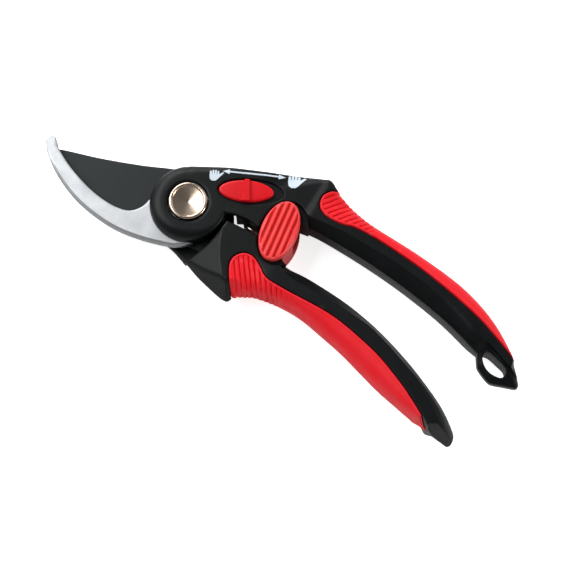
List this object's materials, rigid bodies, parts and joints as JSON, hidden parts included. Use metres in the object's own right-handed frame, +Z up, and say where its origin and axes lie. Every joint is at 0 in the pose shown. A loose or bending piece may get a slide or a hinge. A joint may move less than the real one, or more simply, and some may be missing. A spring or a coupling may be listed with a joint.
{
  "type": "pruning shears",
  "caption": "Bypass pruning shears with a hooked counter blade, soft grips, a hand size slider, a sliding lock and a hanging hole.",
  "frame": {"origin": "on the pivot axis, at the plane that the shears lie on, in the middle of the pivot nut's flat back face", "axes": "+X from the pivot to the handle ends, +Y to the upper handle, +Z up, out of the front face along the pivot axis"},
  "size_m": [0.211, 0.0678, 0.0216],
  "materials": {
    "black_nylon": "glass-filled nylon with a fine moulded grain",
    "red_soft_grip": "soft thermoplastic rubber, silky",
    "red_slider": "smooth moulded plastic, semi-gloss",
    "red_lock": "moulded plastic with grip ribs",
    "satin_steel": "satin plated steel",
    "coated_steel": "dark non-stick coating on steel",
    "polished_steel": "polished, dished face",
    "plain_steel": "plain turned or pressed steel",
    "spring_steel": "drawn spring wire and strip",
    "pale_print": "pad-printed pale ink"
  },
  "bodies": {
    "upper_handle": {"upper_handle_body": "black_nylon", "upper_grip_insert": "red_soft_grip", "hook_blade": "satin_steel", "hook_rivet_1": "plain_steel", "hook_rivet_2": "plain_steel", "lock_catch_pin": "plain_steel", "slider_detent_spring": "spring_steel", "pivot_bolt": "polished_steel", "pivot_spring_washer": "spring_steel", "pivot_bush": "plain_steel", "pivot_rear_washer": "plain_steel", "pivot_nut": "plain_steel", "return_spring": "spring_steel"},
    "lower_handle": {"lower_handle_body": "black_nylon", "lower_grip_insert": "red_soft_grip", "cutting_blade": "coated_steel", "cutter_rivet_1": "plain_steel", "cutter_rivet_2": "plain_steel", "lock_detent_spring": "spring_steel"},
    "size_slider": {"size_slider": "red_slider", "size_slider_peg": "plain_steel"},
    "lock": {"lock_front_pad": "red_lock", "lock_rear_pad": "red_lock", "lock_carriage": "red_lock", "lock_screw": "plain_steel"}
  },
  "joints": [
    {"name": "blade_pivot", "type": "hinge", "parent": "upper_handle", "child": "lower_handle", "pos_m": [0, 0, 0.01], "axis": [0, 0, -1], "range_deg": [0, 32], "deforming": ["return_spring"]},
    {"name": "size_slide", "type": "slide", "parent": "upper_handle", "child": "size_slider", "axis": [0.8988, 0.4384, 0], "range_m": [0, 0.0035]},
    {"name": "lock_slide", "type": "slide", "parent": "lower_handle", "child": "lock", "axis": [0.9945, 0.1045, 0], "range_m": [0, 0.003]}
  ]
}
